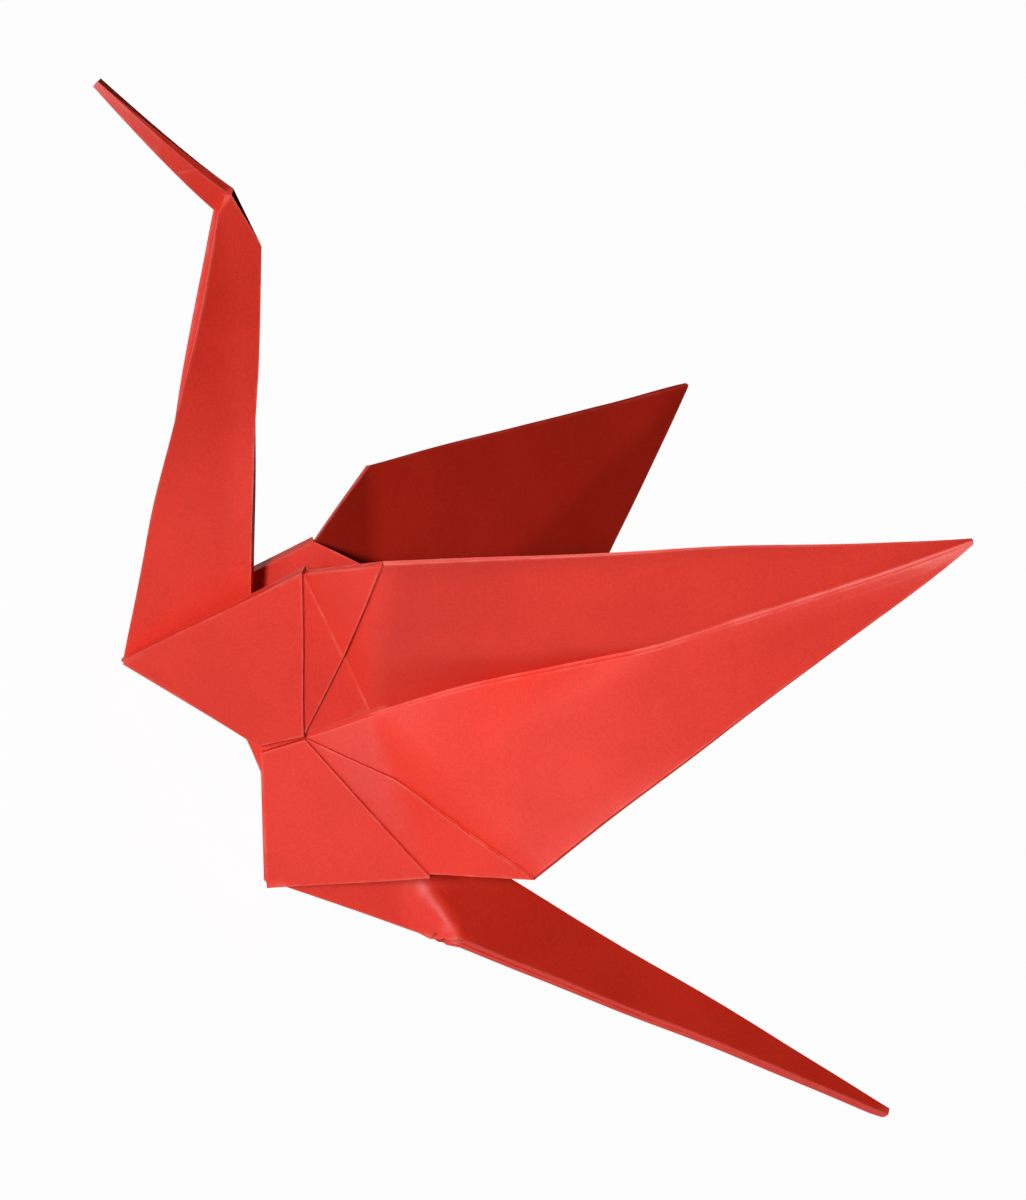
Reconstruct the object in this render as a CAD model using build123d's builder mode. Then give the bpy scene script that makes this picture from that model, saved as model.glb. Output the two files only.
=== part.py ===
from build123d import *
from collections import namedtuple
from math import atan2, cos, degrees, hypot, radians, sin, sqrt, tan
import os

from numpy import array, full
from numpy.linalg import lstsq

# An origami crane, folded from one square sheet. While it is folded, X runs from
# the neck to the tail, Y from the near wing to the far wing, and Z up, with the
# middle of the belly at the origin. At the end it is stood on the four corners
# of its base, with the origin on the floor below its middle.

# The sheet
SHEET = 150.0  # side of the square
PAPER = 0.12  # thickness of the paper
AIR = 0.05  # air left between two pressed leaves
SLIT = 0.25  # half the gap between raw edges that meet on a centre line
TIP_WIDTH = 0.5  # width of a blunt tip

# The near and the far side of the body
NEAR_LEAN = 5.2  # centre line of a side off upright, degrees
FAR_LEAN = 6.9
NEAR_NECK_FLARE = 6.5  # how far each half turns out about its centre line, degrees
NEAR_TAIL_FLARE = 12.0
FAR_NECK_FLARE = 0.0
FAR_TAIL_FLARE = 5.5
NEAR_NECK_TUCK = 8.6  # how far a flank turns in below the hump, degrees
NEAR_TAIL_TUCK = 12.0
FAR_NECK_TUCK = -2.0
FAR_TAIL_TUCK = 0.0

# The wings
NEAR_WING_LEAN = 6.8  # centre crease off upright, degrees
NEAR_WING_SWEEP = -2.8  # towards the tail, degrees
NEAR_NECK_CURL = 42.0  # how far a wing's root turns out on the neck side, degrees
NEAR_TAIL_CURL = 28.0
NEAR_WING_EASE = 3.2  # length that the flexed wing gains over the flat one
FAR_WING_LEAN = 57.0
FAR_WING_SWEEP = -4.4
FAR_NECK_CURL = 71.5
FAR_TAIL_CURL = 71.0
FAR_WING_EASE = 0.0

# The neck and the head
NECK_BASE = 22.9  # from the shoulder down the narrowed edge to the neck's fold
NECK_SPINE_DROP = 0.4  # start of the neck's closed edge below the belly line
NECK_OUTER = 49.5  # open edge from the neck's fold to the throat
CROWN_STEP = 1.7  # open edge from the throat to the crown
CROWN_TURN = 16.5  # how far that short edge turns in, degrees
NECK_SPINE = 53.3  # closed edge from the belly to the nape
HEAD_DROOP = 28.7  # open edge of the head below level, degrees
NECK_OPEN = 1.3  # half the gap between the open edges at the crown
NOTCH_RISE = 0.8  # lowest point of the flanks above the belly line

# The tail
TAIL_BASE = 18.4
TAIL_SPINE_RISE = 2.5
TAIL_BEND = 21.3  # open edge from the tail's fold to the soft bend
TAIL_OPEN = 0.8  # half the gap between the open edges at the bend

SPINE_SET = 0.5  # the two closed edges start this far either side of the middle

# What follows from the sheet: x outward and z up, on the flat folded base
PITCH = PAPER + AIR
HALF = SHEET / 2
NARROW_ANGLE = 90 / 8
RAW_SLOPE = tan(radians(2 * NARROW_ANGLE))
NARROW_SLOPE = tan(radians(NARROW_ANGLE))
HUMP = HALF * RAW_SLOPE
SHOULDER_Z = (HUMP - HALF * NARROW_SLOPE) / (1 + NARROW_SLOPE)
SHOULDER_X = (SHOULDER_Z + HALF) * NARROW_SLOPE
WRIST_Z = HALF * (RAW_SLOPE - NARROW_SLOPE) / (RAW_SLOPE + NARROW_SLOPE)
WRIST_X = (WRIST_Z + HALF) * NARROW_SLOPE
HEM_X = HALF * NARROW_SLOPE
CROSS_Z = hypot(HALF, HUMP) - HALF
KNEE_X = (SHOULDER_Z - CROSS_Z) / (WRIST_Z - CROSS_Z) * WRIST_X

NEAR, FAR = -1, 1
NECK, TAIL = -1, 1

# Leaves of one side, from the middle of the body outward. Each leaf is folded
# back at the narrowed edge, so 0 meets 7, 1 meets 6, 2 meets 5 and 3 meets 4.
GUSSET_IN, HUMP_IN, WING_IN, RAW_IN, RAW_OUT, WING_OUT, HUMP_OUT, GUSSET_OUT = range(8)
LAYERS = 8

# Leaves of one half of a leg, from its middle outward. Turning a leg in between
# the flanks reverses them, and turning the head in reverses them again.
LEG_SLOT = {GUSSET_OUT: 0, RAW_OUT: 1, RAW_IN: 2, GUSSET_IN: 3}
HEAD_SLOT = {GUSSET_IN: 0, RAW_IN: 1, RAW_OUT: 2, GUSSET_OUT: 3}
STACK = len(LEG_SLOT)

# Mitres sharper than this share of the widest are left blunt
MITRE_LIMIT = 0.05


def turned(point, pivot, axis, angle):
    """A point turned about a line through the pivot."""
    return pivot + (point - pivot).rotate(Axis((0, 0, 0), axis), angle)


def square_to(way):
    """The direction square to this one in the crane's middle plane."""
    return Vector(-way.Z, 0, way.X)


def mitre(*normals):
    """The step from one leaf to the next where several planes meet."""
    total = sum(normals, Vector(0, 0, 0))
    return total * (len(normals) / total.dot(total))


def third_corner(first, second, first_reach, second_reach, turn):
    """The point at two given distances from two others, in the middle plane."""
    span = second - first
    along = (first_reach**2 - second_reach**2 + span.length**2) / (2 * span.length)
    height = sqrt(first_reach**2 - along**2)
    ahead = span.normalized()
    return first + ahead * along + square_to(ahead) * turn * height


def fan(*corners):
    """The triangles of one stretch of paper, fanned from its first corner."""
    return [(corners[0], second, third) for second, third in zip(corners[1:], corners[2:])]


def bridge(one, other, first, second):
    """The paper between two groups of leaves, from one corner and leaf to another."""
    return fan(one.at(*first), one.at(*second), other.at(*second), other.at(*first))


class Layers:
    """Leaves that lie side by side. A child's at() places each leaf's corners."""

    def leaf(self, leaf, *names):
        return fan(*[self.at(name, leaf) for name in names])

    def cap(self, name, *leaves):
        """The paper that closes nested folds where they end at a corner."""
        return fan(*[self.at(name, leaf) for leaf in leaves])

    def turn(self, first_leaf, second_leaf, *names):
        """The fold along a line of corners, where one leaf turns into another."""
        strip = []
        for first, second in zip(names, names[1:]):
            strip += fan(
                self.at(first, first_leaf),
                self.at(second, first_leaf),
                self.at(second, second_leaf),
                self.at(first, second_leaf),
            )
        return strip


class Quarter:
    """One side of the body at one end: the planes that its leaves lie in."""

    def __init__(self, side, end, lean, flare, tuck, curl):
        self.side = side
        self.end = end
        lean = radians(lean)
        flare = radians(flare)
        out = Vector(0, side * cos(lean), sin(lean))
        self.down = Vector(0, side * sin(lean), -cos(lean))
        self.along = Vector(end * cos(flare), 0, 0) + out * sin(flare)
        self.upper = out * cos(flare) - Vector(end * sin(flare), 0, 0)
        self.apex = Vector(0, 0, HUMP)
        self.cross = self.on_side(0, CROSS_Z)
        self.middle = self.on_side(0, SHOULDER_Z)
        self.shoulder = self.on_side(SHOULDER_X, SHOULDER_Z)
        self.tuck = -side * end * tuck
        self.tuck_line = self.shoulder - self.cross
        self.flank = self.upper.rotate(Axis((0, 0, 0), self.tuck_line), self.tuck)
        curl_line = self.shoulder - self.middle
        curl *= -side * end
        self.root = self.upper.rotate(Axis((0, 0, 0), curl_line), curl)
        self.wrist = turned(self.on_side(WRIST_X, WRIST_Z), self.middle, curl_line, curl)

    def on_side(self, x, z):
        return self.apex + self.along * x + self.down * (HUMP - z)

    def on_flank(self, x, z):
        return turned(self.on_side(x, z), self.cross, self.tuck_line, self.tuck)

    def on_narrowed_edge(self, reach):
        slope = radians(NARROW_ANGLE)
        return self.on_flank(SHOULDER_X - reach * sin(slope), SHOULDER_Z - reach * cos(slope))


class BodyQuarter(Layers):
    """All the leaves of one quarter of the body and of half a wing."""

    OUTER_CORNERS = ("shoulder", "wrist", "hem", "base")
    MIDDLE_CORNERS = ("cross", "belly", "middle", "tip", "notch")
    FOLD_CORNERS = ("base", "notch")

    def __init__(self, quarter, mate, wing_tip, base_reach, spine_start):
        self.aside = Vector(0, quarter.side, 0)
        self.spine_start = spine_start
        self.flank = quarter.flank
        self.flank_out = quarter.on_flank(1, 0) - quarter.on_flank(0, 0)
        self.middle_out = Vector(quarter.end, 0, 0)
        wing = self.wing_normal(quarter, wing_tip)
        mate_wing = self.wing_normal(mate, wing_tip)
        belly = (quarter.on_flank(0, 0) + mate.on_flank(0, 0)) / 2
        knee = quarter.on_side(KNEE_X, SHOULDER_Z)
        notch = quarter.on_flank(0, NOTCH_RISE)
        base = quarter.on_narrowed_edge(base_reach)
        fold = (notch - base).normalized()
        self.fold_out = quarter.flank.cross(fold) * (quarter.side * quarter.end)
        centre = mitre(quarter.upper, mate.upper, quarter.flank, mate.flank)
        root_centre = mitre(quarter.upper, mate.upper, quarter.root, mate.root)
        self.points = {
            "apex": (quarter.apex, mitre(quarter.upper, mate.upper)),
            "cross": (quarter.cross, centre),
            "belly": (belly, mitre(quarter.flank, mate.flank)),
            "middle": (quarter.middle, root_centre),
            "tip": (wing_tip, mitre(wing, mate_wing)),
            "notch": (notch, quarter.flank),
            "knee": (knee, mitre(quarter.upper, quarter.root)),
            "shoulder": (quarter.shoulder, mitre(quarter.upper, quarter.flank, quarter.root)),
            "wrist": (quarter.wrist, mitre(quarter.root, wing)),
            "hem": (quarter.on_flank(HEM_X, 0), quarter.flank),
            "base": (base, quarter.flank),
        }

    def wing_normal(self, quarter, wing_tip):
        normal = (quarter.wrist - quarter.middle).cross(wing_tip - quarter.middle).normalized()
        return normal if normal.dot(quarter.root) > 0 else -normal

    def folds_inside(self, leaf):
        """How many folds lie inside this leaf's fold at the narrowed edge."""
        return min(leaf, LAYERS - 1 - leaf) * -1 + LAYERS // 2 - 1

    def at(self, name, leaf):
        if name == "notch" and leaf == GUSSET_IN:
            return self.spine_start + self.aside * (STACK + 0.5) * PITCH
        point, step = self.points[name]
        placed = point + step * (leaf + 0.5) * PITCH
        if name in self.OUTER_CORNERS:
            placed += self.flank_out * self.folds_inside(leaf) * PITCH
        if name in self.MIDDLE_CORNERS and leaf >= RAW_IN:
            placed += self.middle_out * SLIT
        if name in self.FOLD_CORNERS and leaf in LEG_SLOT:
            placed += self.fold_out * self.fold_rank(leaf) * PITCH
        return placed

    def fold_rank(self, leaf):
        """How far out this leaf is folded where the leg turns in."""
        return HEAD_SLOT[leaf]

    def paper(self):
        leaves = self.leaf(GUSSET_IN, "apex", "shoulder", "notch")
        leaves += self.leaf(GUSSET_IN, "shoulder", "base", "notch")
        leaves += self.leaf(HUMP_IN, "apex", "shoulder", "cross")
        for leaf in (HUMP_IN, WING_IN):
            leaves += self.leaf(leaf, "cross", "shoulder", "hem", "belly")
        for leaf in (HUMP_OUT, WING_OUT):
            leaves += self.leaf(leaf, "cross", "shoulder", "hem")
        for leaf in (RAW_IN, RAW_OUT, GUSSET_OUT):
            leaves += self.leaf(leaf, "cross", "shoulder", "base", "notch")
        for leaf in (WING_IN, RAW_IN):
            leaves += self.leaf(leaf, "cross", "shoulder", "middle")
            leaves += self.leaf(leaf, "middle", "shoulder", "wrist")
            leaves += self.leaf(leaf, "middle", "wrist", "tip")
        for leaf in (RAW_OUT, WING_OUT):
            leaves += self.leaf(leaf, "cross", "shoulder", "knee")
            leaves += self.leaf(leaf, "knee", "shoulder", "wrist")
        return leaves + self.folds()

    def folds(self):
        folds = self.turn(GUSSET_IN, HUMP_IN, "apex", "shoulder")
        folds += self.turn(HUMP_IN, WING_IN, "belly", "hem")
        folds += self.turn(WING_OUT, HUMP_OUT, "cross", "hem")
        folds += self.turn(HUMP_OUT, GUSSET_OUT, "cross", "shoulder")
        folds += self.turn(RAW_OUT, WING_OUT, "cross", "knee", "wrist")
        folds += self.turn(WING_IN, RAW_IN, "wrist", "tip")
        folds += self.turn(RAW_IN, RAW_OUT, "base", "shoulder", "wrist")
        folds += self.turn(WING_IN, WING_OUT, "hem", "shoulder", "wrist")
        folds += self.turn(HUMP_IN, HUMP_OUT, "hem", "shoulder")
        folds += self.turn(GUSSET_IN, GUSSET_OUT, "base", "shoulder")
        folds += self.cap("shoulder", GUSSET_IN, HUMP_IN, HUMP_OUT, GUSSET_OUT)
        folds += self.cap("hem", HUMP_IN, WING_IN, WING_OUT, HUMP_OUT)
        folds += self.cap("wrist", WING_IN, RAW_IN, RAW_OUT, WING_OUT)
        folds += fan(
            self.at("notch", RAW_OUT),
            self.at("cross", RAW_OUT),
            self.at("cross", WING_OUT),
            self.at("cross", HUMP_OUT),
            self.at("cross", GUSSET_OUT),
            self.at("notch", GUSSET_OUT),
        )
        return folds


def side_of_body(side, lean, flares, tucks, curls, wing_lean, wing_sweep, ease):
    """Both quarters of one side, the neck's first."""
    neck = Quarter(side, NECK, lean, flares[0], tucks[0], curls[0])
    tail = Quarter(side, TAIL, lean, flares[1], tucks[1], curls[1])
    wing_lean = radians(wing_lean)
    wing_sweep = radians(wing_sweep)
    rise = Vector(
        sin(wing_sweep),
        side * sin(wing_lean) * cos(wing_sweep),
        cos(wing_lean) * cos(wing_sweep),
    )
    wing_tip = neck.middle + rise * (HALF - SHOULDER_Z + ease)
    neck_start = Vector(-SPINE_SET, 0, -NECK_SPINE_DROP)
    tail_start = Vector(SPINE_SET, 0, TAIL_SPINE_RISE)
    return (
        BodyQuarter(neck, tail, wing_tip, NECK_BASE, neck_start),
        BodyQuarter(tail, neck, wing_tip, TAIL_BASE, tail_start),
    )


Station = namedtuple("Station", "point open_edge gap fold_out")


class Leg:
    """A narrow leg of the base, turned in between the flanks: the neck or the tail."""

    def __init__(self, near_body, far_body, end, base_reach):
        self.end = end
        self.start = near_body.spine_start
        base = (near_body.points["base"][0] + far_body.points["base"][0]) / 2
        self.base = Vector(base.X, 0, base.Z)
        self.spine_length = HALF + self.start.Z
        self.outer_length = (SHOULDER_Z + HALF) / cos(radians(NARROW_ANGLE)) - base_reach
        tip = third_corner(self.start, self.base, self.spine_length, self.outer_length, end)
        self.outer_way = (tip - self.base).normalized()
        self.spine_way = (tip - self.start).normalized()
        self.to_outer = square_to(self.spine_way) * -end
        self.stations = {}
        self.add("notch", self.start, False, 0)
        half_tip = square_to(self.outer_way) * -end * TIP_WIDTH / 2
        self.add("tip outer", tip + half_tip, True, (STACK - 0.5) * PITCH)
        self.add("tip spine", tip - half_tip, False, 0)

    def add(self, name, point, open_edge, gap, fold_out=Vector(0, 0, 0)):
        """A station of the leg: a point in the middle plane and its half gap."""
        self.stations[name] = Station(point, open_edge, gap, fold_out)


class LegHalf(Layers):
    """The leaves of the near or the far half of a leg."""

    def __init__(self, leg, body, side):
        self.leg = leg
        self.body = body
        self.aside = Vector(0, side, 0)

    def at(self, name, leaf):
        slot = LEG_SLOT[leaf]
        if name == "base":
            placed = self.body.at("base", GUSSET_IN) - self.body.flank * (STACK - slot) * PITCH
            placed += self.body.fold_out * self.body.fold_rank(leaf) * PITCH
            nest = 2 if leaf in (GUSSET_IN, GUSSET_OUT) else 3
            return placed - self.body.flank_out * nest * PITCH
        station = self.leg.stations[name]
        placed = station.point + station.fold_out * LEG_SLOT[leaf] * PITCH
        if station.open_edge:
            nest = 1 if leaf in (GUSSET_IN, GUSSET_OUT) else 0
            placed += self.leg.to_outer * nest * PITCH
            return placed + self.aside * (station.gap - (STACK - 1 - slot) * PITCH)
        inset = 0 if leaf == GUSSET_IN else 1
        placed += self.leg.to_outer * inset * PITCH
        if name == "notch":
            placed += self.body.fold_out * self.body.fold_rank(leaf) * PITCH
        return placed + self.aside * ((slot + 0.5) * PITCH + station.gap)

    def fold_at_body(self):
        """The nested folds that turn the leg in between the flanks."""
        folds = []
        for leaf in LEG_SLOT:
            folds += bridge(self.body, self, ("base", leaf), ("notch", leaf))
        folds += bridge(self.body, self, ("base", GUSSET_IN), ("base", GUSSET_OUT))
        folds += bridge(self.body, self, ("base", RAW_IN), ("base", RAW_OUT))
        folds += bridge(self.body, self, ("notch", RAW_OUT), ("notch", GUSSET_OUT))
        return folds

    def edges(self, outer, spine):
        """The folds along the open edge and beside the closed edge."""
        folds = self.turn(GUSSET_IN, GUSSET_OUT, *outer)
        folds += self.turn(RAW_IN, RAW_OUT, *outer)
        folds += self.turn(RAW_OUT, GUSSET_OUT, *spine)
        return folds


class Head:
    """The end of the neck, turned in once more."""

    def __init__(self, neck, crown, nape, fold_out):
        self.fold_out = fold_out
        droop = radians(HEAD_DROOP)
        reach = neck.outer_length - NECK_OUTER - CROWN_STEP
        beak = crown - Vector(cos(droop), 0, sin(droop)) * reach
        across = square_to((beak - nape).normalized())
        self.to_open = across if across.dot(crown - nape) > 0 else -across
        self.points = {
            "crown": crown,
            "nape": nape,
            "beak outer": beak + self.to_open * TIP_WIDTH / 2,
            "beak spine": beak - self.to_open * TIP_WIDTH / 2,
        }


class HeadHalf(Layers):
    """The leaves of the near or the far half of the head."""

    def __init__(self, head, side):
        self.head = head
        self.aside = Vector(0, side, 0)

    def at(self, name, leaf):
        slot = HEAD_SLOT[leaf]
        placed = self.head.points[name]
        height = (slot + 0.5) * PITCH
        if name == "crown":
            height = NECK_OPEN - (2 * STACK - 1 - slot) * PITCH
        if name in ("crown", "beak outer"):
            nest = 1 if leaf in (GUSSET_IN, GUSSET_OUT) else 0
            placed += self.head.to_open * nest * PITCH
        elif leaf != GUSSET_IN:
            placed += self.head.to_open * PITCH
        if name in ("crown", "nape"):
            placed += self.head.fold_out * LEG_SLOT[leaf] * PITCH
        return placed + self.aside * height

    def paper(self, neck):
        """The half's leaves and edges, and the folds that join it to the neck."""
        leaves = []
        for leaf in HEAD_SLOT:
            leaves += bridge(neck, self, ("crown", leaf), ("nape", leaf))
            leaves += self.leaf(leaf, "crown", "nape", "beak spine", "beak outer")
        leaves += self.turn(GUSSET_IN, GUSSET_OUT, "crown", "beak outer")
        leaves += self.turn(RAW_IN, RAW_OUT, "crown", "beak outer")
        leaves += self.turn(RAW_OUT, GUSSET_OUT, "nape", "beak spine")
        leaves += bridge(neck, self, ("crown", GUSSET_IN), ("crown", GUSSET_OUT))
        leaves += bridge(neck, self, ("crown", RAW_IN), ("crown", RAW_OUT))
        leaves += bridge(neck, self, ("nape", RAW_OUT), ("nape", GUSSET_OUT))
        return leaves


def neck_and_head(near_body, far_body):
    neck = Leg(near_body, far_body, NECK, NECK_BASE)
    throat = neck.base + neck.outer_way * NECK_OUTER
    crown = throat + neck.outer_way.rotate(Axis.Y, CROWN_TURN) * CROWN_STEP
    nape = neck.start + neck.spine_way * NECK_SPINE
    fold_out = square_to((nape - crown).normalized())
    neck.add("throat", throat, True, NECK_OPEN)
    neck.add("crown", crown, True, NECK_OPEN, fold_out)
    neck.add("nape", nape, False, STACK * PITCH, fold_out)
    head = Head(neck, crown, nape, fold_out)
    near_neck = LegHalf(neck, near_body, NEAR)
    far_neck = LegHalf(neck, far_body, FAR)
    near_head = HeadHalf(head, NEAR)
    far_head = HeadHalf(head, FAR)
    leaves = []
    for neck_half, head_half in ((near_neck, near_head), (far_neck, far_head)):
        leaves += neck_half.fold_at_body()
        for leaf in LEG_SLOT:
            leaves += neck_half.leaf(leaf, "notch", "base", "throat")
            leaves += neck_half.leaf(leaf, "notch", "throat", "nape")
            leaves += neck_half.leaf(leaf, "throat", "crown", "nape")
        leaves += neck_half.edges(("base", "throat", "crown"), ("notch", "nape"))
        leaves += head_half.paper(neck_half)
    leaves += fan(
        near_neck.at("notch", GUSSET_IN),
        near_neck.at("nape", GUSSET_IN),
        near_head.at("nape", GUSSET_IN),
        far_head.at("nape", GUSSET_IN),
        far_neck.at("nape", GUSSET_IN),
        far_neck.at("notch", GUSSET_IN),
    )
    leaves += bridge(near_head, far_head, ("nape", GUSSET_IN), ("beak spine", GUSSET_IN))
    return leaves + closed_edge_in_body(near_neck, far_neck)


def tail(near_body, far_body):
    leg = Leg(near_body, far_body, TAIL, TAIL_BASE)
    share = TAIL_BEND / leg.outer_length
    leg.add("bend outer", leg.base + leg.outer_way * TAIL_BEND, True, TAIL_OPEN)
    leg.add("bend spine", leg.start + leg.spine_way * leg.spine_length * share, False, 0)
    halves = LegHalf(leg, near_body, NEAR), LegHalf(leg, far_body, FAR)
    leaves = []
    for half in halves:
        leaves += half.fold_at_body()
        for leaf in LEG_SLOT:
            leaves += half.leaf(leaf, "notch", "base", "bend outer")
            leaves += half.leaf(leaf, "notch", "bend outer", "bend spine")
            leaves += half.leaf(leaf, "bend spine", "bend outer", "tip outer", "tip spine")
        leaves += half.edges(
            ("base", "bend outer", "tip outer"),
            ("notch", "bend spine", "tip spine"),
        )
    leaves += bridge(*halves, ("notch", GUSSET_IN), ("bend spine", GUSSET_IN))
    leaves += bridge(*halves, ("bend spine", GUSSET_IN), ("tip spine", GUSSET_IN))
    return leaves + closed_edge_in_body(*halves)


def closed_edge_in_body(near_leg, far_leg):
    """The closed edge between the flanks, from the hump down to the leg's fold."""
    return fan(
        near_leg.body.at("apex", GUSSET_IN),
        near_leg.body.at("notch", GUSSET_IN),
        near_leg.at("notch", GUSSET_IN),
        far_leg.at("notch", GUSSET_IN),
        far_leg.body.at("notch", GUSSET_IN),
        far_leg.body.at("apex", GUSSET_IN),
    )


def spot(point):
    """A corner's name: its place to a hundred-thousandth of a millimetre."""
    return tuple(round(part, 5) + 0.0 for part in (point.X, point.Y, point.Z))


def edges_of(facet):
    """A facet's edges, each with its corners in the facet's own order."""
    return list(zip(facet, facet[1:] + facet[:1]))


def edge_name(edge):
    return frozenset(spot(corner) for corner in edge)


def facets_by_edge(facets):
    by_edge = {}
    for number, facet in enumerate(facets):
        for edge in edges_of(facet):
            by_edge.setdefault(edge_name(edge), []).append(number)
    return by_edge


def faced_alike(facets):
    """Turn the facets so that the paper's face is on one side all over."""
    by_edge = facets_by_edge(facets)
    faced = {0: facets[0]}
    waiting = [0]
    while waiting:
        number = waiting.pop()
        for edge in edges_of(faced[number]):
            ends = [spot(corner) for corner in edge]
            for other in by_edge[edge_name(edge)]:
                if other in faced:
                    continue
                their_edges = [[spot(corner) for corner in pair] for pair in edges_of(facets[other])]
                faced[other] = facets[other][::-1] if ends in their_edges else facets[other]
                waiting.append(other)
    return [faced[number] for number in range(len(facets))]


def steps_to_face(facets):
    """From each corner of the middle of the paper to the paper's face."""
    normals = {}
    for facet in facets:
        normal = (facet[1] - facet[0]).cross(facet[2] - facet[0]).normalized()
        for corner in facet:
            normals.setdefault(spot(corner), []).append(tuple(normal))
    steps = {}
    for place, around in normals.items():
        step = lstsq(array(around), full(len(around), PAPER / 2), rcond=MITRE_LIMIT)[0]
        steps[place] = Vector(*step)
    return steps


def outlined(corners):
    """A flat face with these corners."""
    with BuildLine() as outline:
        Polyline(*corners, close=True)
    return Face(outline.wire())


def both_faces_and_rim(facets):
    """The skin of the sheet: its two faces, and its cut edge."""
    steps = steps_to_face(facets)
    by_edge = facets_by_edge(facets)
    skin = []
    for facet in facets:
        skin.append(outlined([corner + steps[spot(corner)] for corner in facet]))
        skin.append(outlined([corner - steps[spot(corner)] for corner in reversed(facet)]))
        for edge in edges_of(facet):
            if len(by_edge[edge_name(edge)]) > 1:
                continue
            first, second = edge
            up, down = steps[spot(first)], steps[spot(second)]
            rim = fan(first + up, first - up, second - down, second + down)
            skin += [outlined(corners) for corners in rim]
    return skin


near = side_of_body(
    NEAR,
    NEAR_LEAN,
    (NEAR_NECK_FLARE, NEAR_TAIL_FLARE),
    (NEAR_NECK_TUCK, NEAR_TAIL_TUCK),
    (NEAR_NECK_CURL, NEAR_TAIL_CURL),
    NEAR_WING_LEAN,
    NEAR_WING_SWEEP,
    NEAR_WING_EASE,
)
far = side_of_body(
    FAR,
    FAR_LEAN,
    (FAR_NECK_FLARE, FAR_TAIL_FLARE),
    (FAR_NECK_TUCK, FAR_TAIL_TUCK),
    (FAR_NECK_CURL, FAR_TAIL_CURL),
    FAR_WING_LEAN,
    FAR_WING_SWEEP,
    FAR_WING_EASE,
)
paper = []
for quarter in near + far:
    paper += quarter.paper()
paper += neck_and_head(near[0], far[0])
paper += tail(near[1], far[1])
sheet = Solid(Shell(both_faces_and_rim(faced_alike(paper))))

# Stood on the corners of its base: two below the neck, two below the tail
neck_foot = near[0].at("base", GUSSET_OUT) + far[0].at("base", GUSSET_OUT)
tail_foot = near[1].at("base", GUSSET_OUT) + far[1].at("base", GUSSET_OUT)
stride = tail_foot - neck_foot
stood = Rot(0, degrees(atan2(stride.Z, stride.X)), 0) * sheet
room = stood.bounding_box()

with BuildPart() as crane:
    with Locations((-room.center().X, -room.center().Y, -room.min.Z)):
        add(stood)

crane.part.label = "crane"
os.makedirs("parts", exist_ok=True)
export_step(crane.part, "parts/crane.step")
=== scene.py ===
from math import pi, radians

import bmesh
import bpy
from bpy.props import FloatProperty, FloatVectorProperty, PointerProperty
from mathutils import Euler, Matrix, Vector
from mathutils.geometry import intersect_point_line


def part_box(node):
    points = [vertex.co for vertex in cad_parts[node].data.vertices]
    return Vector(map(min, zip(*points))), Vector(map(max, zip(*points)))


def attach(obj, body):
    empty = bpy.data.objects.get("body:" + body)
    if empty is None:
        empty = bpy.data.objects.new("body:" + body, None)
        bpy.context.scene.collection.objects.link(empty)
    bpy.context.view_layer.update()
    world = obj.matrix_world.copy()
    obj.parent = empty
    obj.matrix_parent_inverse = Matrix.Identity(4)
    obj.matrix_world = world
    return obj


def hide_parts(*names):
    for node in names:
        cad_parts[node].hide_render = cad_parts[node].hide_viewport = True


bl_info = {
    "name": "Origami crane",
    "version": (1, 0, 0),
    "blender": (4, 5, 0),
    "location": "3D View > Sidebar > Crane",
    "description": "Dresses a crane that is folded from one sheet of red paper",
    "category": "Object",
}

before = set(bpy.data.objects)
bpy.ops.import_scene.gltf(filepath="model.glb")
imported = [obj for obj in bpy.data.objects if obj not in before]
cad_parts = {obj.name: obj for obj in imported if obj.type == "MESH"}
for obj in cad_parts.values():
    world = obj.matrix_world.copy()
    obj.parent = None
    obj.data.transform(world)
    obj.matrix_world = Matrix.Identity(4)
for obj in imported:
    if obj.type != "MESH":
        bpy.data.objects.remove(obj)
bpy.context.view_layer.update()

MM = 0.001

# Turns up to these are rounded, in degrees: between broad faces, and along a crease's narrow rim
SOFT_TURN = 40.0
SKIN_TURN = 12.0
# Faces higher than this over a shared edge are broad, in metres
BROAD_FACE = 1e-3
# Corners nearer than this are one corner of the sheet, in metres
WELD = 2e-6
# What stands for any distance to a fold that is longer, in millimetres
FAR_FROM_FOLDS = 2.4
# Rounds of halving that divide the sheet
HALVINGS = 5
# Places on the crane, in metres: the middle plane of neck and tail lies this far behind the front
MIDDLE_FROM_FRONT = 12.53 * MM
WING_ROOT = 20 * MM
TAIL_MIDDLE_X, TAIL_MIDDLE_Z = 24.2 * MM, 16.5 * MM
TAIL_TIP_Z = 44.8 * MM
TAIL_KNEE_X, TAIL_KNEE_Z = 28.5 * MM, 13.5 * MM
TAIL_BEND_NORMAL = (0.106, 0, 0.994)
BODY_END = 18.5 * MM
NECK_FOOT_X, NECK_FOOT_Z = -25 * MM, 14 * MM
NECK_TOP_X, NECK_TOP_Z = -49 * MM, 34 * MM
# The stage
FLOOR_REACH = 3.0
FLOOR_GLOW_SHARE = 0.85
FLOOR_GLOW_SEEN = 1.15
KEY_PLACE = (-0.34, -0.62, 0.04)
KEY_TARGET = (0.018, -0.025, 0.032)
KEY_SIZE = (0.14, 0.08)
KEY_SPREAD = 34


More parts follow.
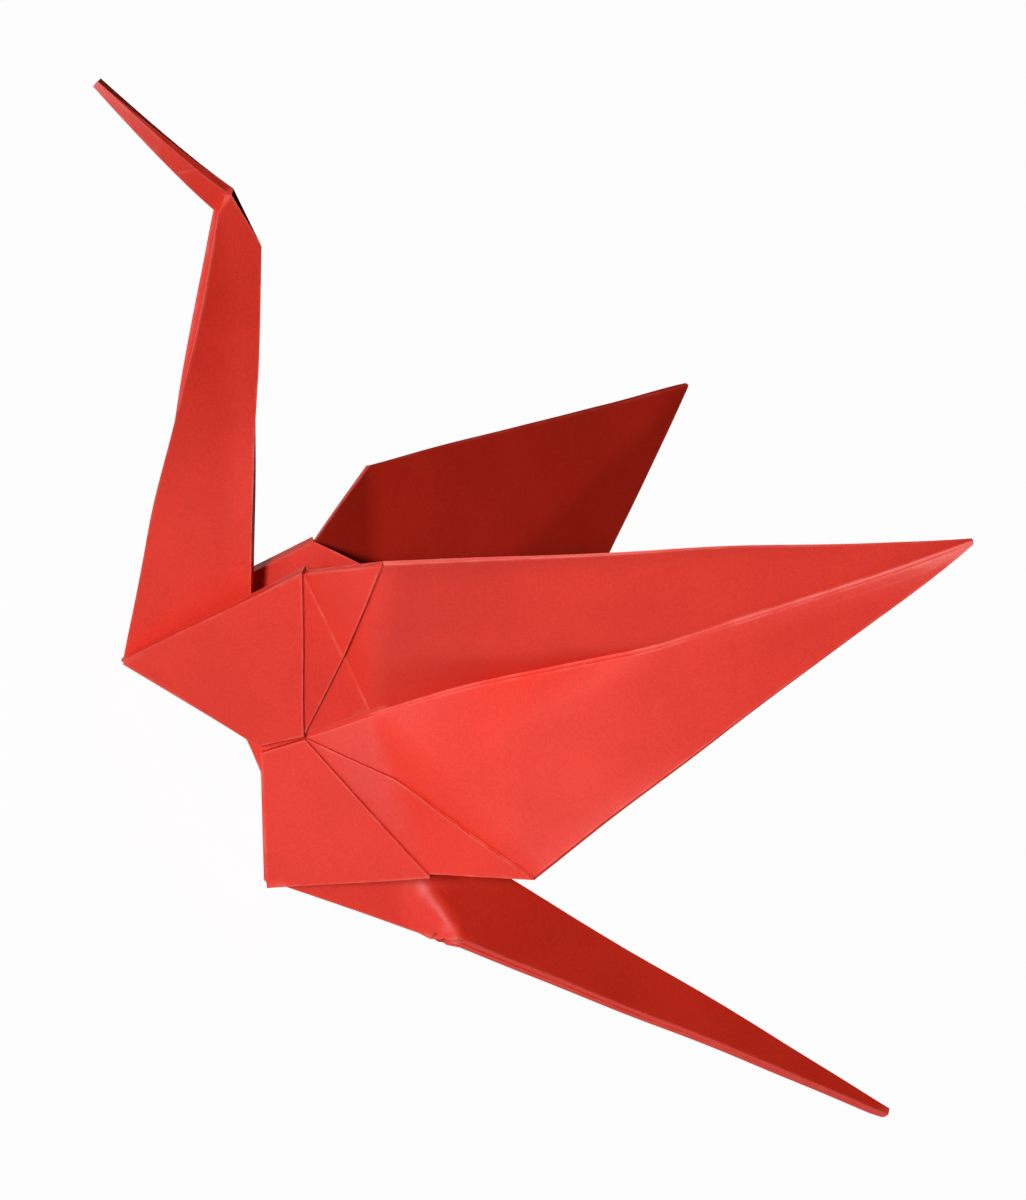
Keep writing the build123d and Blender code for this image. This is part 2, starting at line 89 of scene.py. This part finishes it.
class SheetSizes(bpy.types.PropertyGroup):
    """How finely the sheet is divided, and how far it springs out of its flat facets."""

    facet: FloatProperty(
        name="Facet",
        description="Longest edge of the divided sheet",
        default=2.4 * MM,
        min=0.5 * MM,
        subtype="DISTANCE",
    )
    near_wing_bow: FloatProperty(
        name="Near wing bow",
        description="How far the near wing bows out between its root and its tip",
        default=3.9 * MM,
        subtype="DISTANCE",
    )
    tail_twist: FloatProperty(
        name="Tail twist",
        description="How far the tail is twisted beyond its soft bend",
        default=radians(-62),
        subtype="ANGLE",
    )
    neck_twist: FloatProperty(
        name="Neck twist",
        description="How far the neck is twisted at its top",
        default=radians(20),
        subtype="ANGLE",
    )
    unevenness: FloatProperty(
        name="Unevenness",
        description="Height of the slow waves that handling leaves in the paper",
        default=0.5 * MM,
        subtype="DISTANCE",
    )
    wave: FloatProperty(
        name="Wave",
        description="Length of those slow waves",
        default=24 * MM,
        subtype="DISTANCE",
    )


class PaperFinish(bpy.types.PropertyGroup):
    """The red paper's colours and marks."""

    red: FloatVectorProperty(
        name="Red",
        description="Colour of the flat paper",
        default=(0.80, 0.031, 0.013),
        size=3,
        subtype="COLOR",
        min=0,
        max=1,
    )
    deep_red: FloatVectorProperty(
        name="Deep red",
        description="Colour between the paper's fibres",
        default=(0.70, 0.023, 0.009),
        size=3,
        subtype="COLOR",
        min=0,
        max=1,
    )
    worn_red: FloatVectorProperty(
        name="Worn red",
        description="Colour of the paper where a fold has cracked its surface",
        default=(0.86, 0.15, 0.11),
        size=3,
        subtype="COLOR",
        min=0,
        max=1,
    )
    wear_width: FloatProperty(
        name="Wear width",
        description="Width of the worn line along a fold",
        default=0.3 * MM,
        subtype="DISTANCE",
    )


class StageSizes(bpy.types.PropertyGroup):
    """The floor, the lamps and the camera."""

    key: FloatProperty(
        name="Key lamp",
        description="Power of the soft front lamp",
        default=0.15,
        subtype="POWER",
    )
    sky: FloatProperty(name="Sky", description="Strength of the light from all round", default=0.0)
    floor_white: FloatProperty(name="Floor", description="Brightness of the pale floor", default=0.4)
    floor_light: FloatProperty(name="Floor light", description="Light that the floor sends up", default=0.66)
    camera_place: FloatVectorProperty(
        name="Camera",
        description="Where the camera stands",
        default=(-100.5 * MM, -298.3 * MM, 125.8 * MM),
        size=3,
        subtype="TRANSLATION",
    )
    camera_turn: FloatVectorProperty(
        name="Camera turn",
        description="How the camera is turned",
        default=(radians(55.341), radians(-60.010), radians(11.590)),
        size=3,
        subtype="EULER",
    )
    lens: FloatProperty(name="Lens", description="Focal length for a frame 36 mm wide", default=106.69)


def new_piece(name, mesh):
    piece = bpy.data.objects.new(name, mesh)
    bpy.context.scene.collection.objects.link(piece)
    return piece


# The sheet


def welded_copy(node):
    """The CAD node's loose triangles as one closed mesh."""
    sheet = bmesh.new()
    sheet.from_mesh(node.data)
    bmesh.ops.remove_doubles(sheet, verts=sheet.verts, dist=WELD)
    return sheet


def height_over(face, edge):
    return 2 * face.calc_area() / max(edge.calc_length(), WELD)


def mark_folds(sheet):
    """Round the soft turns between broad faces, and keep every crease and cut sharp."""
    for edge in sheet.edges:
        if len(edge.link_faces) == 2:
            turn = edge.calc_face_angle(0.0)
            broad = min(height_over(face, edge) for face in edge.link_faces) > BROAD_FACE
            edge.smooth = turn < radians(SOFT_TURN if broad else SKIN_TURN)


def divide(sheet, longest):
    """Halve the long edges, longest first, until few are longer than asked."""
    for halvings in reversed(range(HALVINGS)):
        limit = longest * 2**halvings
        long_edges = [edge for edge in sheet.edges if edge.calc_length() > limit]
        bmesh.ops.subdivide_edges(sheet, edges=long_edges, cuts=1)
        wide = [face for face in sheet.faces if len(face.verts) > 3]
        bmesh.ops.triangulate(sheet, faces=wide)


def part_folds(sheet):
    """Put a corner between any two folds, so that distance to a fold shows on the mesh."""
    on_fold = {v for edge in sheet.edges if not edge.smooth for v in edge.verts}
    bridges = [edge for edge in sheet.edges if edge.smooth and set(edge.verts) <= on_fold]
    bmesh.ops.subdivide_edges(sheet, edges=bridges, cuts=1)
    bmesh.ops.triangulate(sheet, faces=[face for face in sheet.faces if len(face.verts) > 3])
    closed = [face for face in sheet.faces if set(face.verts) <= on_fold]
    bmesh.ops.poke(sheet, faces=closed)


def distance_to_folds(sheet):
    """Each corner's distance to the folds of the faces round it, in millimetres."""
    distances = []
    for vertex in sheet.verts:
        found = [FAR_FROM_FOLDS]
        if any(not edge.smooth for edge in vertex.link_edges):
            found.append(0.0)
        for face in vertex.link_faces:
            for edge in face.edges:
                if not edge.smooth:
                    nearest, share = intersect_point_line(vertex.co, edge.verts[0].co, edge.verts[1].co)
                    found.append((nearest - vertex.co).length / MM)
        distances.append(min(found))
    return distances


def sheet_object(node, facet):
    sheet = welded_copy(node)
    mark_folds(sheet)
    divide(sheet, facet)
    part_folds(sheet)
    distances = distance_to_folds(sheet)
    mesh = bpy.data.meshes.new("crane sheet")
    for face in sheet.faces:
        face.smooth = True
    sheet.to_mesh(mesh)
    sheet.free()
    mesh.attributes.new("fold_mm", "FLOAT", "POINT").data.foreach_set("value", distances)
    return new_piece("folded_sheet", mesh)


class NodeWriter:
    """Adds nodes to a tree and links what feeds them."""

    def __init__(self, tree):
        self.tree = tree

    def node(self, kind, inputs=(), **settings):
        node = self.tree.nodes.new(kind)
        for name, value in settings.items():
            setattr(node, name, value)
        for socket, value in dict(inputs).items():
            if isinstance(value, bpy.types.NodeSocket):
                self.tree.links.new(value, node.inputs[socket])
            else:
                node.inputs[socket].default_value = value
        return node

    def math(self, operation, *values):
        return self.node("ShaderNodeMath", dict(enumerate(values)), operation=operation).outputs[0]

    def vector(self, operation, *values):
        node = self.node("ShaderNodeVectorMath", dict(enumerate(values)), operation=operation)
        return node.outputs["Value" if operation == "DOT_PRODUCT" else "Vector"]

    def scaled(self, vector, factor):
        inputs = {"Vector": vector, "Scale": factor}
        return self.node("ShaderNodeVectorMath", inputs, operation="SCALE").outputs["Vector"]

    def ramp(self, value, start, end, low=0.0, high=1.0, shape="SMOOTHSTEP"):
        inputs = {"Value": value, 1: start, 2: end, 3: low, 4: high}
        return self.node("ShaderNodeMapRange", inputs, interpolation_type=shape).outputs["Result"]


def near_wing_offset(write, inputs, position):
    """The near wing bows outward, most along its centre crease."""
    place = write.node("ShaderNodeSeparateXYZ", {0: position}).outputs
    rise = write.ramp(place["Z"], inputs["Wing root"], inputs["Wing tip"], shape="LINEAR")
    arch = write.math("SINE", write.math("MULTIPLY", rise, pi))
    front = write.ramp(place["Y"], inputs["Wing back"], inputs["Wing front"])
    crease = write.math("MULTIPLY_ADD", rise, inputs["Wing sweep"], inputs["Wing middle"])
    across = write.math("SUBTRACT", place["X"], crease)
    tail_edge = write.ramp(rise, 0.0, 1.0, 20 * MM, 1.5 * MM, "LINEAR")
    tail_half = write.ramp(across, 0.0, tail_edge, 1.0, 0.0, "LINEAR")
    neck_edge = write.math("MULTIPLY", tail_edge, -1.0)
    neck_half = write.ramp(across, 0.0, neck_edge, 1.0, 0.1, "LINEAR")
    amount = inputs["Wing bow"]
    for share in (arch, front, tail_half, neck_half):
        amount = write.math("MULTIPLY", amount, share)
    return write.scaled((0.0, -1.0, 0.0), amount)


def uneven_offset(write, inputs, position):
    """Slow waves all over the sheet, fading out at the feet."""
    scale = write.math("DIVIDE", 1.0, inputs["Wave"])
    noise = write.node("ShaderNodeTexNoise", {"Vector": position, "Scale": scale, "Detail": 1.0})
    centred = write.vector("SUBTRACT", noise.outputs["Color"], (0.5, 0.5, 0.5))
    height = write.node("ShaderNodeSeparateXYZ", {0: position}).outputs["Z"]
    above_feet = write.ramp(height, 2 * MM, 14 * MM)
    amount = write.math("MULTIPLY", write.math("MULTIPLY", inputs["Unevenness"], 2.0), above_feet)
    return write.scaled(centred, amount)


def tail_twisted(write, inputs, position):
    """The tail turns its face upward, about its own length, beyond the soft bend."""
    axis = write.vector("NORMALIZE", write.vector("SUBTRACT", inputs["Tail tip"], inputs["Tail middle"]))
    from_bend = write.vector("SUBTRACT", position, inputs["Tail bend"])
    past = write.ramp(write.vector("DOT_PRODUCT", from_bend, inputs["Bend normal"]), -2.4 * MM, -0.6 * MM)
    place = write.node("ShaderNodeSeparateXYZ", {0: position}).outputs
    outside = write.ramp(place["X"], inputs["Body end"], write.math("ADD", inputs["Body end"], 5 * MM))
    depth = write.node("ShaderNodeSeparateXYZ", {0: from_bend}).outputs["Y"]
    clear_of_wings = write.ramp(write.math("ABSOLUTE", depth), 2.5 * MM, 3.5 * MM, 1.0, 0.0)
    angle = inputs["Tail twist"]
    for share in (past, outside, clear_of_wings):
        angle = write.math("MULTIPLY", angle, share)
    turn = {"Vector": position, "Center": inputs["Tail middle"], "Axis": axis, "Angle": angle}
    return write.node("ShaderNodeVectorRotate", turn, rotation_type="AXIS_ANGLE").outputs["Vector"]


def neck_twisted(write, inputs, position):
    """The neck turns its face upward by degrees, and the head turns back."""
    rise = write.vector("SUBTRACT", inputs["Neck top"], inputs["Neck foot"])
    axis = write.vector("NORMALIZE", rise)
    along = write.vector("DOT_PRODUCT", write.vector("SUBTRACT", position, inputs["Neck foot"]), axis)
    length = write.vector("DOT_PRODUCT", rise, axis)
    growing = write.ramp(along, 0.0, write.math("MULTIPLY", length, 0.8))
    fading = write.ramp(along, length, write.math("MULTIPLY", length, 1.5), 1.0, 0.0)
    angle = write.math("MULTIPLY", inputs["Neck twist"], write.math("MULTIPLY", growing, fading))
    ahead = write.node("ShaderNodeSeparateXYZ", {0: position}).outputs["X"]
    clear_of_body = write.ramp(ahead, -19 * MM, -26 * MM)
    angle = write.math("MULTIPLY", angle, clear_of_body)
    turn = {"Vector": position, "Center": inputs["Neck foot"], "Axis": axis, "Angle": angle}
    return write.node("ShaderNodeVectorRotate", turn, rotation_type="AXIS_ANGLE").outputs["Vector"]


FLEX_INPUTS = {
    "Wing bow": "NodeSocketFloat",
    "Wing root": "NodeSocketFloat",
    "Wing tip": "NodeSocketFloat",
    "Wing back": "NodeSocketFloat",
    "Wing front": "NodeSocketFloat",
    "Wing middle": "NodeSocketFloat",
    "Wing sweep": "NodeSocketFloat",
    "Tail twist": "NodeSocketFloat",
    "Tail middle": "NodeSocketVector",
    "Tail bend": "NodeSocketVector",
    "Bend normal": "NodeSocketVector",
    "Body end": "NodeSocketFloat",
    "Tail tip": "NodeSocketVector",
    "Neck twist": "NodeSocketFloat",
    "Neck foot": "NodeSocketVector",
    "Neck top": "NodeSocketVector",
    "Unevenness": "NodeSocketFloat",
    "Wave": "NodeSocketFloat",
    "Low corner": "NodeSocketVector",
    "High corner": "NodeSocketVector",
    "Material": "NodeSocketMaterial",
}


def flex_tree():
    """The tree that lets the flat facets spring into the curves of handled paper."""
    tree = bpy.data.node_groups.new("paper flex", "GeometryNodeTree")
    tree.interface.new_socket("Geometry", in_out="INPUT", socket_type="NodeSocketGeometry")
    for name, kind in FLEX_INPUTS.items():
        tree.interface.new_socket(name, in_out="INPUT", socket_type=kind)
    tree.interface.new_socket("Geometry", in_out="OUTPUT", socket_type="NodeSocketGeometry")
    write = NodeWriter(tree)
    inputs = write.node("NodeGroupInput").outputs
    position = write.node("GeometryNodeInputPosition").outputs[0]
    bowed = write.vector("ADD", position, near_wing_offset(write, inputs, position))
    uneven = write.vector("ADD", bowed, uneven_offset(write, inputs, position))
    twisted = neck_twisted(write, inputs, tail_twisted(write, inputs, uneven))
    above_low = write.vector("MAXIMUM", twisted, inputs["Low corner"])
    kept_in = write.vector("MINIMUM", above_low, inputs["High corner"])
    placed = {"Geometry": inputs["Geometry"], "Position": kept_in}
    moved = write.node("GeometryNodeSetPosition", placed)
    real = write.node("GeometryNodeRealizeInstances", {0: moved.outputs[0]})
    dressed = {"Geometry": real.outputs[0], "Material": inputs["Material"]}
    made = write.node("GeometryNodeSetMaterial", dressed)
    write.node("NodeGroupOutput", {0: made.outputs[0]})
    return tree


def flexed(piece, tree, values):
    """Run the tree on the piece once, and keep the result as a plain mesh."""
    modifier = piece.modifiers.new("paper flex", "NODES")
    modifier.node_group = tree
    for item in tree.interface.items_tree:
        if item.in_out == "INPUT" and item.name in values:
            modifier[item.identifier] = values[item.name]
    graph = bpy.context.evaluated_depsgraph_get()
    mesh = bpy.data.meshes.new_from_object(piece.evaluated_get(graph), depsgraph=graph)
    piece.modifiers.remove(modifier)
    piece.data = mesh


def flex_values(sizes, material):
    """Where the wings and the tail are, from the CAD sheet's own box."""
    low, high = (Vector(corner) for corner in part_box("crane"))
    middle = low.y + MIDDLE_FROM_FRONT
    return {
        "Wing bow": sizes.near_wing_bow,
        "Wing root": WING_ROOT,
        "Wing tip": high.z,
        "Wing back": low.y + 9.8 * MM,
        "Wing front": low.y + 6.2 * MM,
        "Wing middle": 0.6 * MM,
        "Wing sweep": 7.8 * MM,
        "Tail twist": sizes.tail_twist,
        "Tail middle": Vector((TAIL_MIDDLE_X, middle, TAIL_MIDDLE_Z)),
        "Tail bend": Vector((TAIL_KNEE_X, middle, TAIL_KNEE_Z)),
        "Bend normal": Vector(TAIL_BEND_NORMAL),
        "Body end": BODY_END,
        "Low corner": low,
        "High corner": high,
        "Tail tip": Vector((high.x, middle, TAIL_TIP_Z)),
        "Neck twist": sizes.neck_twist,
        "Neck foot": Vector((NECK_FOOT_X, middle, NECK_FOOT_Z)),
        "Neck top": Vector((NECK_TOP_X, middle, NECK_TOP_Z)),
        "Unevenness": sizes.unevenness,
        "Wave": sizes.wave,
        "Material": material,
    }


class CRANE_OT_sheet(bpy.types.Operator):
    """Make the folded sheet from the CAD sheet, divided and flexed"""

    bl_idname = "crane.sheet"
    bl_label = "Folded sheet"

    def execute(self, context):
        sizes = context.scene.crane_sheet
        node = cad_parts["crane"]
        piece = sheet_object(node, sizes.facet)
        material = paper_material(context.scene.crane_paper)
        flexed(piece, flex_tree(), flex_values(sizes, material))
        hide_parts("crane")
        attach(piece, "root")
        return {"FINISHED"}


# The paper


def new_group(name, inputs, outputs):
    """A shader node group with named sockets."""
    tree = bpy.data.node_groups.new(name, "ShaderNodeTree")
    for socket, (kind, value) in inputs.items():
        tree.interface.new_socket(socket, in_out="INPUT", socket_type=kind).default_value = value
    for socket, kind in outputs.items():
        tree.interface.new_socket(socket, in_out="OUTPUT", socket_type=kind)
    return tree


def grain_group():
    """Mottled fibres: a value about 0.5 for colour, and a height for relief."""
    inputs = {"Fibre": ("NodeSocketFloat", 0.25), "Cloud": ("NodeSocketFloat", 7.0)}
    tree = new_group("paper grain", inputs, {"Mottle": "NodeSocketFloat", "Height": "NodeSocketFloat"})
    write = NodeWriter(tree)
    sizes = write.node("NodeGroupInput").outputs
    place = write.node("ShaderNodeTexCoord").outputs["Object"]
    place = write.scaled(place, 1 / MM)
    fibre_scale = write.math("DIVIDE", 1.0, sizes["Fibre"])
    cloud_scale = write.math("DIVIDE", 1.0, sizes["Cloud"])
    fibre = write.node("ShaderNodeTexNoise", {"Vector": place, "Scale": fibre_scale, "Detail": 3.0})
    cloud = write.node("ShaderNodeTexNoise", {"Vector": place, "Scale": cloud_scale, "Detail": 2.0})
    mottle = write.math("MULTIPLY_ADD", fibre.outputs[0], 0.6, write.math("MULTIPLY", cloud.outputs[0], 0.4))
    write.node("NodeGroupOutput", {"Mottle": mottle, "Height": fibre.outputs[0]})
    return tree


def fold_wear_group():
    """A broken line along every fold and cut, 1 where it is worn."""
    inputs = {"Width": ("NodeSocketFloat", 0.25), "Breaks": ("NodeSocketFloat", 2.5)}
    tree = new_group("fold wear", inputs, {"Worn": "NodeSocketFloat"})
    write = NodeWriter(tree)
    sizes = write.node("NodeGroupInput").outputs
    distance = write.node("ShaderNodeAttribute", attribute_name="fold_mm").outputs["Fac"]
    place = write.scaled(write.node("ShaderNodeTexCoord").outputs["Object"], 1 / MM)
    scale = write.math("DIVIDE", 1.0, sizes["Breaks"])
    noise = write.node("ShaderNodeTexNoise", {"Vector": place, "Scale": scale, "Detail": 4.0})
    near = write.ramp(distance, 0.0, sizes["Width"], 1.0, 0.0)
    patchy = write.ramp(noise.outputs[0], 0.35, 0.7, 0.25, 1.0)
    write.node("NodeGroupOutput", {"Worn": write.math("MULTIPLY", near, patchy)})
    return tree


def mixed(write, factor, first, second):
    """One colour turning into another as the factor goes from 0 to 1."""
    node = write.node("ShaderNodeMix", data_type="RGBA")
    for socket, value in ((0, factor), (6, first), (7, second)):
        if isinstance(value, bpy.types.NodeSocket):
            write.tree.links.new(value, node.inputs[socket])
        else:
            node.inputs[socket].default_value = value
    return node.outputs[2]


def paper_material(finish):
    material = bpy.data.materials.new("red paper")
    material.use_nodes = True
    write = NodeWriter(material.node_tree)
    shader = material.node_tree.nodes["Principled BSDF"]
    shader.inputs["Roughness"].default_value = 0.5
    shader.inputs["Specular IOR Level"].default_value = 0.5
    grain = write.node("ShaderNodeGroup", node_tree=grain_group())
    wear = write.node("ShaderNodeGroup", node_tree=fold_wear_group())
    wear.inputs["Width"].default_value = finish.wear_width / MM
    shade = write.ramp(grain.outputs["Mottle"], 0.32, 0.68)
    colour = mixed(write, shade, (*finish.deep_red, 1), (*finish.red, 1))
    colour = mixed(write, write.math("MULTIPLY", wear.outputs["Worn"], 0.55), colour, (*finish.worn_red, 1))
    relief = write.node("ShaderNodeBump", {"Height": grain.outputs["Height"], "Strength": 0.35})
    relief.inputs["Distance"].default_value = 0.04 * MM
    links = material.node_tree.links
    links.new(colour, shader.inputs["Base Color"])
    links.new(relief.outputs["Normal"], shader.inputs["Normal"])
    return material


# The stage


def strip_lamp(name, place, target, size, power):
    """A low, wide, soft lamp whose beam falls off away from the target."""
    lamp = bpy.data.lights.new(name, "AREA")
    lamp.shape = "RECTANGLE"
    lamp.size, lamp.size_y = size
    lamp.spread = radians(KEY_SPREAD)
    lamp.energy = power
    holder = new_piece(name, lamp)
    holder.location = place
    holder.rotation_euler = (Vector(target) - Vector(place)).to_track_quat("-Z", "Y").to_euler()
    return holder


def floor_material(brightness, bounce):
    """Pale and matte, with a glow that lights the paper from below and looks white."""
    material = bpy.data.materials.new("pale floor")
    material.use_nodes = True
    nodes, links = material.node_tree.nodes, material.node_tree.links
    nodes.clear()
    matte = nodes.new("ShaderNodeBsdfDiffuse")
    matte.inputs["Color"].default_value = (brightness, brightness, brightness, 1)
    glow = nodes.new("ShaderNodeEmission")
    path = nodes.new("ShaderNodeLightPath")
    strength = nodes.new("ShaderNodeMapRange")
    strength.inputs["To Min"].default_value = bounce
    strength.inputs["To Max"].default_value = FLOOR_GLOW_SEEN
    mix = nodes.new("ShaderNodeMixShader")
    mix.inputs[0].default_value = FLOOR_GLOW_SHARE
    out = nodes.new("ShaderNodeOutputMaterial")
    links.new(path.outputs["Is Camera Ray"], strength.inputs[0])
    links.new(strength.outputs[0], glow.inputs["Strength"])
    links.new(matte.outputs[0], mix.inputs[1])
    links.new(glow.outputs[0], mix.inputs[2])
    links.new(mix.outputs[0], out.inputs[0])
    return material


class CRANE_OT_stage(bpy.types.Operator):
    """Make the floor, the lamps, the sky and the camera"""

    bl_idname = "crane.stage"
    bl_label = "Stage"

    def execute(self, context):
        scene = context.scene
        sizes = scene.crane_stage
        mesh = bpy.data.meshes.new("floor")
        corners = [(-1, -1), (1, -1), (1, 1), (-1, 1)]
        places = [(x * FLOOR_REACH, y * FLOOR_REACH, 0) for x, y in corners]
        mesh.from_pydata(places, [], [(0, 1, 2, 3)])
        floor = new_piece("floor", mesh)
        mesh.materials.append(floor_material(sizes.floor_white, sizes.floor_light))
        strip_lamp("key lamp", KEY_PLACE, KEY_TARGET, KEY_SIZE, sizes.key)
        world = bpy.data.worlds.new("sky")
        world.use_nodes = True
        background = world.node_tree.nodes["Background"]
        background.inputs["Color"].default_value = (1, 1, 1, 1)
        background.inputs["Strength"].default_value = sizes.sky
        scene.world = world
        camera = bpy.data.cameras.new("camera")
        camera.sensor_fit = "HORIZONTAL"
        camera.sensor_width = 36
        camera.lens = sizes.lens
        camera.clip_start = 0.01
        holder = new_piece("camera", camera)
        holder.location = sizes.camera_place
        holder.rotation_euler = Euler(sizes.camera_turn)
        scene.camera = holder
        scene.view_settings.view_transform = "Standard"
        return {"FINISHED"}


class CRANE_PT_sidebar(bpy.types.Panel):
    """The crane's sizes and finishes, and a button for each piece"""

    bl_idname = "CRANE_PT_sidebar"
    bl_label = "Origami crane"
    bl_space_type = "VIEW_3D"
    bl_region_type = "UI"
    bl_category = "Crane"

    def draw(self, context):
        column = self.layout.column()
        for name, operator in PANEL_ROWS:
            group = getattr(context.scene, name)
            for field in group.__annotations__:
                column.prop(group, field)
            if operator:
                column.operator(operator)


CLASSES = (SheetSizes, PaperFinish, StageSizes, CRANE_OT_sheet, CRANE_OT_stage, CRANE_PT_sidebar)
PANEL_ROWS = (("crane_paper", None), ("crane_sheet", "crane.sheet"), ("crane_stage", "crane.stage"))
GROUPS = {"crane_sheet": SheetSizes, "crane_paper": PaperFinish, "crane_stage": StageSizes}


def register():
    for cls in CLASSES:
        bpy.utils.register_class(cls)
    for name, group in GROUPS.items():
        setattr(bpy.types.Scene, name, PointerProperty(type=group))


def unregister():
    for name in GROUPS:
        delattr(bpy.types.Scene, name)
    for cls in reversed(CLASSES):
        bpy.utils.unregister_class(cls)


def main():
    register()
    bpy.ops.crane.sheet()
    bpy.ops.crane.stage()


if __name__ == "__main__":
    main()
